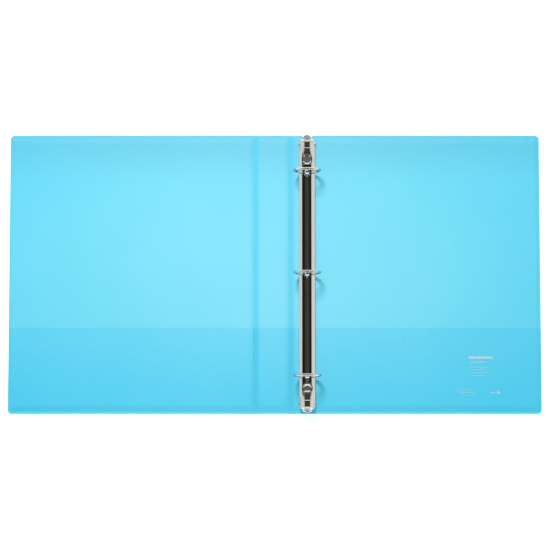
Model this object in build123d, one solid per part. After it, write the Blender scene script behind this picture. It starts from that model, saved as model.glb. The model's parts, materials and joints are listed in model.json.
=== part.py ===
from build123d import *
import math
import os

# Three-ring binder, 1 inch round rings, lying open on its outer face.
#
# Frame: millimetres, +Z up, +X from the front cover to the back cover, +Y from foot to head.
# The origin is the middle of the spine's outer face, on the plane the open binder rests on.
# Each separate piece is written to parts/NODE.step.

os.makedirs("parts", exist_ok=True)

# ---------------------------------------------------------------- cover sizes
HEIGHT = 295.0            # head to foot
FRONT_W = 260.4           # front hinge line to front cover's free edge
BACK_W = 263.0            # back hinge line to back cover's free edge
HINGE_SPACING = 37.4      # between the two hinge lines
WEB_HALF = 2.6            # half the width of a welded hinge web
CORNER_R = 4.0            # corners of the welded margins
FLANGE = 2.4              # welded margin outside the board
BOARD_R = 1.5             # board corners
FILM_R = 2.0              # raised part of the clear film and pocket, at the corners
T_FILM = 0.15             # clear outer film
T_SKIN = 0.25             # vinyl sheets
T_BOARD = 2.0             # chipboard
T_POCKET = 0.20           # inside pocket film
GAP = 0.02                # between layers that only lie on each other
POCKET_GAP = 0.08         # under the pocket film
BOARD_GAP = 0.35          # board edge to its vinyl wall
POCKET_TOP_Y = -57.0      # mouth of the inside pockets
OVERLAY_TOP_Y = 144.3     # mouth of the clear outer pockets
OPEN_CUT = 9.0            # how far a hollow is cut past an open edge

HALF_H = HEIGHT / 2
HINGE_F = -HINGE_SPACING / 2
HINGE_B = HINGE_SPACING / 2
SKIN_LAP = T_SKIN + GAP   # a film lies this far outside the skin it covers

# ---------------------------------------------------------------- layer heights
Z_OUT = T_FILM + GAP                      # outer skin's outer face
Z_BOARD = Z_OUT + T_SKIN + GAP            # board's outer face
Z_IN = Z_BOARD + T_BOARD + GAP            # inner skin's lower face
Z_TOP = Z_IN + T_SKIN                     # inner skin's inner face
Z_MID = (Z_OUT + Z_TOP) / 2               # weld plane
Z_POCKET = Z_TOP + POCKET_GAP             # pocket film's lower face
Z_COVER = Z_POCKET + T_POCKET             # highest cover surface

# ---------------------------------------------------------------- housing sizes
MECH_X = HINGE_B + 16.8   # middle of the mechanism
BASE_Z = Z_COVER + GAP    # the housing stands on the back cover here
HOUSING_L = 281.0
HOUSING_HALF_W = 8.35
WALL = 0.8
SIDE_H = 2.8              # straight part of the side walls
CROWN = 6.4               # height of the arch
SHOULDER_R = 0.9          # arch to side wall, outside
SHOULDER_R_IN = 0.3       # arch to side wall, inside
LIP_T = 1.18              # hem along each side wall's foot
LIP_IN = 6.55             # inner end of the hems
ARCH_R = (HOUSING_HALF_W ** 2 + (CROWN - SIDE_H) ** 2) / (2 * (CROWN - SIDE_H))
ARCH_C = CROWN - ARCH_R
CUT_TOP = CROWN + 2       # cutters end here, clear of the arch

SLOT_IN = 3.0             # inner end of the ring slots
SLOT_W = 3.7
SLOT_Z = SIDE_H - 0.1     # lower end of the ring slots
DIMPLE_R = 2.4            # round seat pressed into the crown between the slots
DIMPLE_DEPTH = 0.4
PLATEAU_R = 5.6           # flat rivet seat in the arch
PLATEAU_Z = 5.1
CHANNEL_Z0 = 5.42         # channel floor beside the rivet seat
CHANNEL_Z1 = 5.96         # channel floor at the housing's end
RIB_Y = 133.9             # low rib across the channel
RIB_HALF_X = 3.3
RIB_HALF_Y = 0.35
RIB_RISE = 0.24
RIB_SINK = 0.3            # rib's root below the channel floor

# ---------------------------------------------------------------- ring and hinge plate sizes
RING_PITCH = 107.95       # 4 1/4 inch, the three-hole standard
RINGS = {"top": RING_PITCH, "middle": 0.0, "bottom": -RING_PITCH}
RING_R = 13.1             # to the middle of the wire
WIRE_R = 1.4
RING_CZ = 17.0            # ring centre above the housing's foot
RING_END = 243.0          # where the round part of a half ends, degrees from +X
BEND_R = 2.0              # bend between the round part and the foot
JOINT_GAP = 0.06          # each half stops this far from the middle
SOCKET_BACK = 0.5         # socket cone's middle behind its half's end face
SOCKET_CONE = (0.98, 0.5, 1.14)   # mouth radius, inner radius, length
TIP_REACH = 0.45          # tip cone's middle ahead of its half's end face
TIP_CONE = (0.8, 0.35, 0.92)      # root radius, point radius, length
SHANK_R = 0.9             # thin end of the foot, through the hinge plate
SHANK_CLEAR = 0.05
HEAD_EXTRA_R = 0.5        # head under the plate, wider than the shank
HEAD_T = 0.4

PLATE_T = 0.9
PIVOT_X = 7.05            # hinge plate's outer edge turns here
PIVOT_Z = 1.70
PLATE_DROP = 0.40         # closed plates dip below their pivots by this at the middle
PLATE_MID_GAP = 0.07      # each plate's inner edge to the middle, measured flat
PLATE_END = 135.4
NOTCH_Y = 133.2           # beyond this the plate's outer part is cut away
NOTCH_X = 4.6             # inner side of that cut
PLATE_SPAN = PIVOT_X - PLATE_MID_GAP - PLATE_T / 2   # pivot to middle of the round inner edge
PLATE_TILT = math.degrees(math.asin(PLATE_DROP / PLATE_SPAN))

# ---------------------------------------------------------------- rivet sizes
RIVET_Y = 121.0
RIVET_YS = (RIVET_Y, -RIVET_Y)
POST_Z = 0.04             # underside of the post's flange
POST_FLANGE_R = 5.3
POST_FLANGE_T = 0.6
POST_EDGE_R = 0.25
POST_R = 2.5
TENON_R = 1.6
TENON_RISE = 0.9          # tenon above the rivet seat
CAP_R = 4.1
CAP_H = 1.7
CAP_BORE = 1.0
FIT = 0.02                # close fit of tenons and pins in their holes

# ---------------------------------------------------------------- trigger sizes
TRIG_Y = 137.5            # trigger pivot
TRIG_Z = 2.2
PIN_R = 0.8
PIN_CLEAR = 0.05
PIN_HALF = HOUSING_HALF_W + 0.1
PIN_HEAD_EXTRA_R = 0.4
PIN_HEAD_T = 0.4
BOSS_R = 1.6
BOSS_HALF = 5.4
LIP_REACH = 2.9           # lips reach this far inboard of the pivot
LOWER_LIP_HALF = 1.1
LOWER_LIP_Z = (0.12, 0.70)
LOWER_LIP_Y = 0.6         # outer end of the lower lip, inboard of the pivot
LIP_ROOT_Y = 1.55         # inner end of the lower lip's root
LIP_ROOT_TOP = 1.4
UPPER_LIP_HALF = 2.4
UPPER_LIP_Z = (2.35, 3.0)
LEVER_HALF_T = 0.5
LEVER_HALF_W = 8.0
LEVER_BEND_R = 0.75
# lever's middle line, seen from the side: y outboard of the pivot, z
LEVER_LINE = [(0.6, 3.05), (3.75, 3.35), (4.05, 7.3), (5.9, 8.9), (6.5, 12.9), (8.6, 13.9)]
# right half of the lever's outline, seen from the end: x, z
LEVER_OUTLINE = [(5.3, 0), (5.3, 3.95), (8.2, 3.95), (8.2, 7.6),
                 (6.4, 9.0), (5.7, 11.0), (5.3, 13.0), (4.4, 14.6)]


# ================================================================ helpers
def box(x0, x1, y0, y1, z0, z1):
    middle = Pos((x0 + x1) / 2, (y0 + y1) / 2, (z0 + z1) / 2)
    return middle * Box(abs(x1 - x0), abs(y1 - y0), abs(z1 - z0))


def cyl(x, y, z0, z1, radius):
    return Pos(x, y, (z0 + z1) / 2) * Cylinder(radius, z1 - z0)


def rod_x(x, y, z, radius, length):
    """Cylinder along X, centred on the point."""
    return Pos(x, y, z) * Rot(0, 90, 0) * Cylinder(radius, length)


def plate(x0, x1, y0, y1, z0, z1, radius, free_edge, round_head=True):
    """Flat plate, rounded at the corners of its free edge ('left', 'right' or None)."""
    slab = box(x0, x1, y0, y1, z0, z1)
    corner_x = {"left": [x0], "right": [x1]}.get(free_edge, [])
    corner_y = [y0, y1] if round_head else [y0]
    chosen = []
    for edge in slab.edges().filter_by(Axis.Z):
        place = edge.center()
        at_x = any(abs(place.X - x) < 1e-6 for x in corner_x)
        at_y = any(abs(place.Y - y) < 1e-6 for y in corner_y)
        if at_x and at_y:
            chosen.append(edge)
    return fillet(chosen, radius) if chosen else slab


def left_right(free_edge, at_free, at_hinge):
    """Values for the left and right edges of a panel."""
    return (at_free if free_edge == "left" else at_hinge,
            at_free if free_edge == "right" else at_hinge)


# ================================================================ covers
def board(x0, x1, free_edge):
    left, right = left_right(free_edge, FLANGE, 0.0)
    wall = T_SKIN + BOARD_GAP
    return plate(x0 + left + wall, x1 - right - wall,
                 -HALF_H + FLANGE + wall, HALF_H - FLANGE - wall,
                 Z_BOARD, Z_BOARD + T_BOARD, BOARD_R, free_edge)


def skin(x0, x1, free_edge, z_sheet):
    """Vinyl tray on a margin at the weld plane; z_sheet is its face towards the board."""
    away = 1 if z_sheet > Z_MID else -1
    left, right = left_right(free_edge, FLANGE, 0.0)
    body_r = CORNER_R - FLANGE
    z_outer = z_sheet + away * T_SKIN
    margin = plate(x0, x1, -HALF_H, HALF_H, Z_MID, Z_MID + away * T_SKIN, CORNER_R, free_edge)
    body = plate(x0 + left, x1 - right, -HALF_H + FLANGE, HALF_H - FLANGE,
                 Z_MID, z_outer, body_r, free_edge)
    hollow = plate(x0 + left + T_SKIN, x1 - right - T_SKIN,
                   -HALF_H + FLANGE + T_SKIN, HALF_H - FLANGE - T_SKIN,
                   Z_MID - away, z_sheet, body_r - T_SKIN, free_edge)
    return (margin + body) - hollow


def open_sheet(x0, x1, free_edge, thickness, hinge_inset, y_top, rim_z, body_z, hollow_z):
    """Film over a skin, open at y_top and at the hinges; each z argument is a pair of levels."""
    lap = FLANGE - SKIN_LAP
    side_l, side_r = left_right(free_edge, lap, 0.0)
    inset_l, inset_r = left_right(free_edge, 0.0, hinge_inset)
    cut_l, cut_r = left_right(free_edge, lap + thickness, -OPEN_CUT)
    rim = plate(x0 + inset_l, x1 - inset_r, -HALF_H, y_top, *rim_z,
                CORNER_R, free_edge, round_head=False)
    body = plate(x0 + side_l + inset_l, x1 - side_r - inset_r, -HALF_H + lap, y_top, *body_z,
                 FILM_R, free_edge, round_head=False)
    hollow = box(x0 + cut_l, x1 - cut_r, -HALF_H + lap + thickness, y_top + OPEN_CUT, *hollow_z)
    return (rim + body) - hollow


def clear_film(x0, x1, free_edge):
    """Clear film below the outer skin, open at the head."""
    rim_top = Z_MID - SKIN_LAP
    return open_sheet(x0, x1, free_edge, T_FILM, T_FILM + GAP, OVERLAY_TOP_Y,
                      (rim_top - T_FILM, rim_top), (0.0, rim_top), (T_FILM, Z_MID))


def pocket(x0, x1, free_edge):
    """Band across the foot of the inner skin, open along its upper edge."""
    rim_low = Z_MID + SKIN_LAP
    return open_sheet(x0, x1, free_edge, T_POCKET, 0.0, POCKET_TOP_Y,
                      (rim_low, rim_low + T_POCKET), (rim_low, Z_COVER), (rim_low - 1, Z_POCKET))


def web(x):
    """Hinge web: one flexible strip, thicker over the height of the pockets."""
    x0, x1 = x - WEB_HALF + GAP, x + WEB_HALF - GAP
    strip = box(x0, x1, -HALF_H, HALF_H, Z_MID - T_SKIN, Z_MID + T_SKIN)
    low = box(x0, x1, -HALF_H, POCKET_TOP_Y, Z_MID, Z_MID + T_SKIN + T_POCKET)
    return strip + low


# name, left x, right x, free edge
PANELS = [
    ("front", HINGE_F - FRONT_W, HINGE_F - WEB_HALF, "left"),
    ("spine", HINGE_F + WEB_HALF, HINGE_B - WEB_HALF, None),
    ("back", HINGE_B + WEB_HALF, HINGE_B + BACK_W, "right"),
]

parts = {}
for name, *panel in PANELS:
    parts[f"{name}_board"] = board(*panel)
    parts[f"{name}_inner_skin"] = skin(*panel, Z_IN)
    parts[f"{name}_outer_skin"] = skin(*panel, Z_BOARD - GAP)
    parts[f"{name}_clear_film"] = clear_film(*panel)
    parts[f"{name}_pocket"] = pocket(*panel)

parts["front_hinge_web"] = web(HINGE_F)
parts["back_hinge_web"] = web(HINGE_B)

# rivet holes through the back cover: piece, lower z, upper z, radius
POST_HOLE_R = POST_R + 0.15
FLANGE_HOLE_R = POST_FLANGE_R + 0.25
RIVET_HOLES = [
    ("back_clear_film", -1, 1.2, FLANGE_HOLE_R),
    ("back_outer_skin", -1, 1.2, FLANGE_HOLE_R),
    ("back_board", -1, 6, POST_HOLE_R),
    ("back_board", -1, 0.75, FLANGE_HOLE_R),     # shallow seat for the post's flange
    ("back_inner_skin", 1, 6, POST_HOLE_R),
]
for y in RIVET_YS:
    for name, z0, z1, radius in RIVET_HOLES:
        parts[name] -= cyl(MECH_X, y, z0, z1, radius)
# only the foot-end rivet passes through the pocket
parts["back_pocket"] -= cyl(MECH_X, -RIVET_Y, 1, 6, POST_HOLE_R)


# ================================================================ housing
# Mechanism pieces are drawn with x from its middle and z from the housing's foot.
MECHANISM = Pos(MECH_X, 0, BASE_Z)


def rounded_profile(edges, shoulder_z, radius):
    """Closed profile with its corners at shoulder_z rounded."""
    face = make_face(Wire(edges))
    return fillet([v for v in face.vertices() if abs(v.Y - shoulder_z) < 1e-6], radius)


def profile_outer():
    half = HOUSING_HALF_W
    edges = [
        Line((-half, 0), (-half, SIDE_H)),
        ThreePointArc((-half, SIDE_H), (0, CROWN), (half, SIDE_H)),
        Line((half, SIDE_H), (half, 0)),
        Line((half, 0), (-half, 0)),
    ]
    return rounded_profile(edges, SIDE_H, SHOULDER_R)


def profile_cavity():
    half = HOUSING_HALF_W - WALL
    arch_r = ARCH_R - WALL
    shoulder_z = ARCH_C + math.sqrt(arch_r * arch_r - half * half)
    edges = [
        Line((-half, LIP_T), (-half, shoulder_z)),
        ThreePointArc((-half, shoulder_z), (0, CROWN - WALL), (half, shoulder_z)),
        Line((half, shoulder_z), (half, LIP_T)),
        Line((half, LIP_T), (LIP_IN, LIP_T)),
        Line((LIP_IN, LIP_T), (LIP_IN, -1)),
        Line((LIP_IN, -1), (-LIP_IN, -1)),
        Line((-LIP_IN, -1), (-LIP_IN, LIP_T)),
        Line((-LIP_IN, LIP_T), (-half, LIP_T)),
    ]
    return rounded_profile(edges, shoulder_z, SHOULDER_R_IN)


def along_y(face, length):
    """Extrude a profile drawn in XY along Y, its y turned to z, centred on y = 0."""
    return Rot(90, 0, 0) * extrude(face, amount=length / 2, both=True)


def channel_z(y):
    outward = (abs(y) - RIVET_Y) / (HOUSING_L / 2 - RIVET_Y)
    return CHANNEL_Z0 + (CHANNEL_Z1 - CHANNEL_Z0) * outward


def channel_wedge(end, rise):
    """Everything above the channel's floor plus rise, outboard of the rivet, at one end."""
    y0, y1, top = RIVET_Y, HOUSING_L / 2 + 3, 9.0
    points = [(end * y0, channel_z(y0) + rise), (end * y1, channel_z(y1) + rise),
              (end * y1, top), (end * y0, top)]
    face = make_face(Polyline(*points, close=True))
    return extrude(Plane.YZ * face, amount=12, both=True)


def make_housing():
    outer = along_y(profile_outer(), HOUSING_L)
    cavity = along_y(profile_cavity(), HOUSING_L + 4)
    for y in RIVET_YS:
        outer -= cyl(0, y, PLATEAU_Z, CUT_TOP, PLATEAU_R)
        cavity -= cyl(0, y, PLATEAU_Z - WALL, CUT_TOP, PLATEAU_R + WALL)
    # flat channel from each rivet seat to the end of the arch, rising a little outwards
    for end in (-1, 1):
        outer -= channel_wedge(end, 0)
        cavity -= channel_wedge(end, -WALL)
    housing = outer - cavity
    for y in RIVET_YS:
        housing -= cyl(0, y, 0, CUT_TOP, TENON_R + FIT)
    for y in RINGS.values():
        for side in (-1, 1):
            housing -= box(side * SLOT_IN, side * (HOUSING_HALF_W + 2),
                           y - SLOT_W / 2, y + SLOT_W / 2, SLOT_Z, CUT_TOP)
        # round pressed seat under each ring's joint
        housing -= cyl(0, y, CROWN - DIMPLE_DEPTH, CUT_TOP, DIMPLE_R)
    for end in (-1, 1):
        housing -= rod_x(0, end * TRIG_Y, TRIG_Z, PIN_R + FIT, 2 * HOUSING_HALF_W + 4)
        # low rib across the channel, just inboard of the trigger
        floor_z = channel_z(RIB_Y)
        housing += box(-RIB_HALF_X, RIB_HALF_X,
                       end * (RIB_Y - RIB_HALF_Y), end * (RIB_Y + RIB_HALF_Y),
                       floor_z - RIB_SINK, floor_z + RIB_RISE)
    return housing


parts["housing"] = MECHANISM * make_housing()


# ================================================================ ring halves
def ring_points():
    """Left half in the XZ plane: start, middle and end of the round part, bend, foot top."""
    start_angle = math.radians(90) + JOINT_GAP / RING_R
    end_angle = math.radians(RING_END)

    def on_ring(angle):
        return Vector(RING_R * math.cos(angle), 0, RING_CZ + RING_R * math.sin(angle))

    end = on_ring(end_angle)
    heading = Vector(-math.sin(end_angle), 0, math.cos(end_angle))
    bend_centre = end + Vector(heading.Z, 0, -heading.X) * BEND_R
    foot_top = Vector(bend_centre.X + BEND_R, 0, bend_centre.Z)
    bend_angle = math.atan2(end.Z - bend_centre.Z, end.X - bend_centre.X) / 2
    bend_middle = Vector(bend_centre.X + BEND_R * math.cos(bend_angle), 0,
                         bend_centre.Z + BEND_R * math.sin(bend_angle))
    middle = on_ring((start_angle + end_angle) / 2)
    return on_ring(start_angle), middle, end, bend_middle, foot_top


RING_START, RING_MIDDLE, RING_STOP, BEND_MIDDLE, FOOT_TOP = ring_points()
FOOT_X = FOOT_TOP.X
PLATE_Z_AT_FOOT = PIVOT_Z - (FOOT_X + PIVOT_X) * math.tan(math.radians(PLATE_TILT))
FOOT_LOW = PLATE_Z_AT_FOOT + PLATE_T / 2 + 0.10      # full wire ends above the plate
SHANK_LOW = PLATE_Z_AT_FOOT - PLATE_T / 2 - 0.12     # shank ends below it


def ring_half(side):
    """Left half (-1) with a socket in its end, or right half (1) with a point."""
    path = Wire([
        Edge.make_three_point_arc(RING_START, RING_MIDDLE, RING_STOP),
        Edge.make_three_point_arc(RING_STOP, BEND_MIDDLE, FOOT_TOP),
        Edge.make_line(FOOT_TOP, Vector(FOOT_X, 0, FOOT_LOW)),
    ])
    start = Plane(origin=RING_START, x_dir=(0, 1, 0), z_dir=path.tangent_at(0))
    wire = sweep(start * Circle(WIRE_R), path=path)
    shank = cyl(FOOT_X, 0, SHANK_LOW, FOOT_LOW, SHANK_R)
    head = cyl(FOOT_X, 0, SHANK_LOW - HEAD_T, SHANK_LOW, SHANK_R + HEAD_EXTRA_R)
    half = wire + shank + head
    joint_z = RING_CZ + RING_R
    if side < 0:
        return half - Pos(-JOINT_GAP - SOCKET_BACK, 0, joint_z) * Rot(0, -90, 0) * Cone(*SOCKET_CONE)
    half = mirror(half, about=Plane.YZ)
    return half + Pos(JOINT_GAP - TIP_REACH, 0, joint_z) * Rot(0, -90, 0) * Cone(*TIP_CONE)


left_half = ring_half(-1)
right_half = ring_half(1)
for key, y in RINGS.items():
    parts[f"left_ring_{key}"] = MECHANISM * (Pos(0, y, 0) * left_half)
    parts[f"right_ring_{key}"] = MECHANISM * (Pos(0, y, 0) * right_half)


# ================================================================ hinge plates
def left_hinge_plate():
    """Left plate under the housing. Its outer edge is round, about the line it turns on."""
    length = 2 * PLATE_END
    body = Pos(PLATE_SPAN / 2, 0, 0) * Box(PLATE_SPAN, length, PLATE_T)
    outer_edge = Rot(90, 0, 0) * Cylinder(PLATE_T / 2, length)
    inner_edge = Pos(PLATE_SPAN, 0, 0) * Rot(90, 0, 0) * Cylinder(PLATE_T / 2, length)
    leaf = body + outer_edge + inner_edge
    leaf = Pos(-PIVOT_X, 0, PIVOT_Z) * Rot(0, PLATE_TILT, 0) * leaf
    for y in RIVET_YS:
        leaf -= cyl(0, y, -1, 8, POST_R + 0.9)
    for y in RINGS.values():
        leaf -= cyl(FOOT_X, y, -1, 8, SHANK_R + SHANK_CLEAR)
    # narrower ends beside the trigger's boss
    for end in (-1, 1):
        leaf -= box(-PIVOT_X - 2, -NOTCH_X, end * NOTCH_Y, end * (PLATE_END + 2), -1, 8)
    return leaf


hinge_leaf = left_hinge_plate()
parts["left_hinge_plate"] = MECHANISM * hinge_leaf
parts["right_hinge_plate"] = MECHANISM * mirror(hinge_leaf, about=Plane.YZ)


# ================================================================ rivets
def rivet_post(y):
    flange_top = POST_Z + POST_FLANGE_T
    shoulder_z = BASE_Z + PLATEAU_Z - WALL - GAP
    flange = cyl(MECH_X, y, POST_Z, flange_top, POST_FLANGE_R)
    flange = fillet(flange.edges().group_by(Axis.Z)[0], POST_EDGE_R)
    shank = cyl(MECH_X, y, flange_top, shoulder_z, POST_R)
    tenon = cyl(MECH_X, y, shoulder_z, BASE_Z + PLATEAU_Z + TENON_RISE, TENON_R)
    return flange + shank + tenon


def rivet_cap(y):
    z0 = BASE_Z + PLATEAU_Z + GAP
    dome_r = (CAP_R ** 2 + CAP_H ** 2) / (2 * CAP_H)
    dome = Pos(MECH_X, y, z0 + CAP_H - dome_r) * Sphere(dome_r)
    dome = dome & cyl(MECH_X, y, z0, z0 + CAP_H + 1, CAP_R + 1)
    return dome - cyl(MECH_X, y, z0 - 1, z0 + CAP_BORE, TENON_R + FIT)


parts["rivet_posts"] = Compound(children=[rivet_post(y).solid() for y in RIVET_YS])
parts["rivet_caps"] = Compound(children=[rivet_cap(y).solid() for y in RIVET_YS])


# ================================================================ triggers and their pins
def trigger_lever():
    """Bent strip: out under the arch, then up and outwards to the finger pad."""
    line = Polyline(*[(TRIG_Y + y, z) for y, z in LEVER_LINE])
    line = fillet(line.vertices()[1:-1], LEVER_BEND_R)
    profile = offset(line, LEVER_HALF_T, side=Side.BOTH)
    lever = extrude(Plane.YZ * make_face(profile.edges()), amount=LEVER_HALF_W, both=True)
    points = [(-x, z) for x, z in LEVER_OUTLINE] + LEVER_OUTLINE[::-1]
    outline = make_face(Polyline(*points, close=True))
    return lever & extrude(Plane.XZ * outline, amount=200, both=True)


def make_trigger():
    """Head-end trigger: a lever with two lips that hold the hinge plates' inner edges."""
    boss = rod_x(0, TRIG_Y, TRIG_Z, BOSS_R, 2 * BOSS_HALF)
    lip_y = TRIG_Y - LIP_REACH
    lower_end = TRIG_Y - LOWER_LIP_Y
    lower = box(-LOWER_LIP_HALF, LOWER_LIP_HALF, lip_y, lower_end, *LOWER_LIP_Z)
    lower_root = box(-LOWER_LIP_HALF, LOWER_LIP_HALF, TRIG_Y - LIP_ROOT_Y, lower_end,
                     LOWER_LIP_Z[0], LIP_ROOT_TOP)
    upper = box(-UPPER_LIP_HALF, UPPER_LIP_HALF, lip_y, TRIG_Y, *UPPER_LIP_Z)
    body = boss + lower + lower_root + upper + trigger_lever()
    return body - rod_x(0, TRIG_Y, TRIG_Z, PIN_R + PIN_CLEAR, 40)


def make_pin():
    """Head-end pin, with a head outside each side wall."""
    pin = rod_x(0, TRIG_Y, TRIG_Z, PIN_R, 2 * PIN_HALF)
    for side in (-1, 1):
        pin += rod_x(side * (PIN_HALF + PIN_HEAD_T / 2), TRIG_Y, TRIG_Z,
                     PIN_R + PIN_HEAD_EXTRA_R, PIN_HEAD_T)
    return pin


for name, shape in (("trigger", make_trigger()), ("trigger_pin", make_pin())):
    parts[f"top_{name}"] = MECHANISM * shape
    parts[f"bottom_{name}"] = MECHANISM * mirror(shape, about=Plane.XZ)


# ================================================================ files
for name, shape in parts.items():
    solids = shape.solids()
    shape = solids[0] if len(solids) == 1 else Compound(children=list(solids))
    export_step(shape, f"parts/{name}.step")
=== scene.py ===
"""A ring binder lying open and flat, its inside facing up.

The front cover lies to the left (-x), the spine in the middle and the back cover to the
right (+x), with a hinge web on each side of the spine. The head points to +y and the foot
to -y. The ring mechanism is riveted to the back cover. Shapes are worked out in
millimetres and turned into metres when a mesh is made; materials work in metres.
"""
import bmesh
import bpy
import json
import math
import numpy as np
from collections import namedtuple
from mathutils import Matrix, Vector


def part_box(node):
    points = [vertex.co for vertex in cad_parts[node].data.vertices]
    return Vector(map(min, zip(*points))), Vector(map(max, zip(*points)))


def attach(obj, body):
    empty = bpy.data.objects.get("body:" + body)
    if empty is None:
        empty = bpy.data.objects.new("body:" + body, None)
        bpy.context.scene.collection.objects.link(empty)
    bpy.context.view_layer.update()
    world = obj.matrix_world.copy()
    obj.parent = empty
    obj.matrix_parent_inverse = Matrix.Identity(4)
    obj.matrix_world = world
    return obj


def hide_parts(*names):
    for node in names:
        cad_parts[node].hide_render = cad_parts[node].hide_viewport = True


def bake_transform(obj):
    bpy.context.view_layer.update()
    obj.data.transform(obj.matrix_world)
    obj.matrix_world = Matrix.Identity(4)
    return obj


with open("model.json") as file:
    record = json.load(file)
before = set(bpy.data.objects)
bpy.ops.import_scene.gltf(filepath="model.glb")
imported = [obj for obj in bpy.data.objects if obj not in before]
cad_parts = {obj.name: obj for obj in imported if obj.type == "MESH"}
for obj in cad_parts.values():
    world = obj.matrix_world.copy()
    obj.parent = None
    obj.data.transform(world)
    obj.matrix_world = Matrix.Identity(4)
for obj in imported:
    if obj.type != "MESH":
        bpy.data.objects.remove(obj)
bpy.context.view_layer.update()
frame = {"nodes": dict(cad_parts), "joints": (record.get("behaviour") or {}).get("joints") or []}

MM = 0.001


# ---------------------------------------------------------------- places taken from the frame
def node_box(node):
    """Lowest and highest corners of a CAD node, in millimetres."""
    low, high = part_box(node)
    return [c * 1000 for c in low], [c * 1000 for c in high]


(_, FOOT, _), (_, HEAD, Z_TOP) = node_box("front_inner_skin")
Z_OUT = node_box("front_outer_skin")[0][2]
Z_MID = (Z_TOP + Z_OUT) / 2             # plane where the inner and outer skins meet
FULL_IN = Z_TOP - Z_MID
FULL_OUT = Z_MID - Z_OUT
_, (_, POCKET_HEAD, POCKET_Z) = node_box("front_pocket")
VIEW_HEAD = node_box("front_clear_film")[1][1]

low, high = node_box("housing")
MECH_X = (low[0] + high[0]) / 2         # centre line of the mechanism
BASE_Z = low[2]                         # underside of the mechanism
HALF_WIDTH = (high[0] - low[0]) / 2
HALF_LENGTH = (high[1] - low[1]) / 2

low, high = node_box("rivet_caps")
RIVET_R = (high[0] - low[0]) / 2
RIVET_Y = high[1] - RIVET_R
CAP_Z0, CAP_Z1 = low[2], high[2]

RING_YS = {}
for place in ("top", "middle", "bottom"):
    low, high = node_box("left_ring_" + place)
    RING_YS[place] = (low[1] + high[1]) / 2

trigger_joint = next(j for j in frame["joints"] if j["name"] == "top_trigger_pull")
_, PIN_Y, pin_z = [c * 1000 for c in trigger_joint["pos_m"]]
PIN_Z = pin_z - BASE_Z                  # above the mechanism's underside


# ---------------------------------------------------------------- curves and unevenness
def clamp(x):
    return max(0.0, min(1.0, x))


def ease(start, end, x):
    """Smooth step: 0 at start, 1 at end."""
    t = clamp((x - start) / (end - start))
    return t * t * (3 - 2 * t)


def bell(x, centre, width):
    return math.exp(-((x - centre) / width) ** 2)


def smooth_min(a, b, blend):
    t = clamp(0.5 + 0.5 * (b - a) / blend)
    return b * (1 - t) + a * t - blend * t * (1 - t)


def wave(x, y, seed):
    """Slow, gentle unevenness over a sheet, between about -1 and 1."""
    return (0.45 * math.sin(0.041 * x + 0.023 * y + seed)
            + 0.30 * math.sin(0.067 * y - 0.031 * x + 1.7 * seed + 0.6)
            + 0.25 * math.sin(0.113 * x + 0.089 * y + 2.3 * seed + 2.0))


def ripple(s, seed):
    """Unevenness along a weld."""
    return (0.5 * math.sin(0.31 * s + seed) * math.sin(0.047 * s + 2 * seed)
            + 0.3 * math.sin(0.73 * s + 3 * seed) * math.sin(0.021 * s + seed)
            + 0.2 * math.sin(1.37 * s + seed))


# ---------------------------------------------------------------- mesh helpers
def add_object(name, data):
    ob = bpy.data.objects.new(name, data)
    bpy.context.scene.collection.objects.link(ob)
    return ob


def make(name, verts, faces, material, sharp_angle=40.0, attributes=None):
    """Smooth-shaded object from millimetre points; attributes hold one value per point."""
    mesh = bpy.data.meshes.new(name)
    mesh.from_pydata([tuple(c * MM for c in v) for v in verts], [], faces)
    mesh.validate()
    mesh.update()
    ob = add_object(name, mesh)
    mesh.materials.append(material)
    for face in mesh.polygons:
        face.use_smooth = True
    for key, values in (attributes or {}).items():
        attribute = mesh.attributes.new(key, "FLOAT", "POINT")
        attribute.data.foreach_set("value", np.array(values, np.float32))
    if sharp_angle:
        mesh.set_sharp_from_angle(angle=math.radians(sharp_angle))
    return ob


def merge(ob, dist=1e-7):
    """Join coincident points and turn all faces outwards."""
    bm = bmesh.new()
    bm.from_mesh(ob.data)
    bmesh.ops.remove_doubles(bm, verts=bm.verts, dist=dist)
    bmesh.ops.dissolve_degenerate(bm, edges=bm.edges, dist=dist)
    bmesh.ops.recalc_face_normals(bm, faces=bm.faces)
    bm.to_mesh(ob.data)
    bm.free()
    ob.data.update()


def apply_modifiers(ob):
    depsgraph = bpy.context.evaluated_depsgraph_get()
    mesh = bpy.data.meshes.new_from_object(
        ob.evaluated_get(depsgraph), preserve_all_data_layers=True, depsgraph=depsgraph)
    old = ob.data
    ob.modifiers.clear()
    ob.data = mesh
    bpy.data.meshes.remove(old)


def circle(count):
    """Cosine and sine of evenly spaced angles round a full turn."""
    angles = [2 * math.pi * k / count for k in range(count)]
    return [(math.cos(a), math.sin(a)) for a in angles]


def tube_faces(start, rings, count, closed=False):
    """Walls between successive rings of points, capped at both ends unless closed."""
    faces = []
    for j in range(rings if closed else rings - 1):
        a = start + j * count
        b = start + (j + 1) % rings * count
        for k in range(count):
            after = (k + 1) % count
            faces.append([a + k, a + after, b + after, b + k])
    if not closed:
        last = start + (rings - 1) * count
        faces.append([start + k for k in reversed(range(count))])
        faces.append([last + k for k in range(count)])
    return faces


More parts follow.
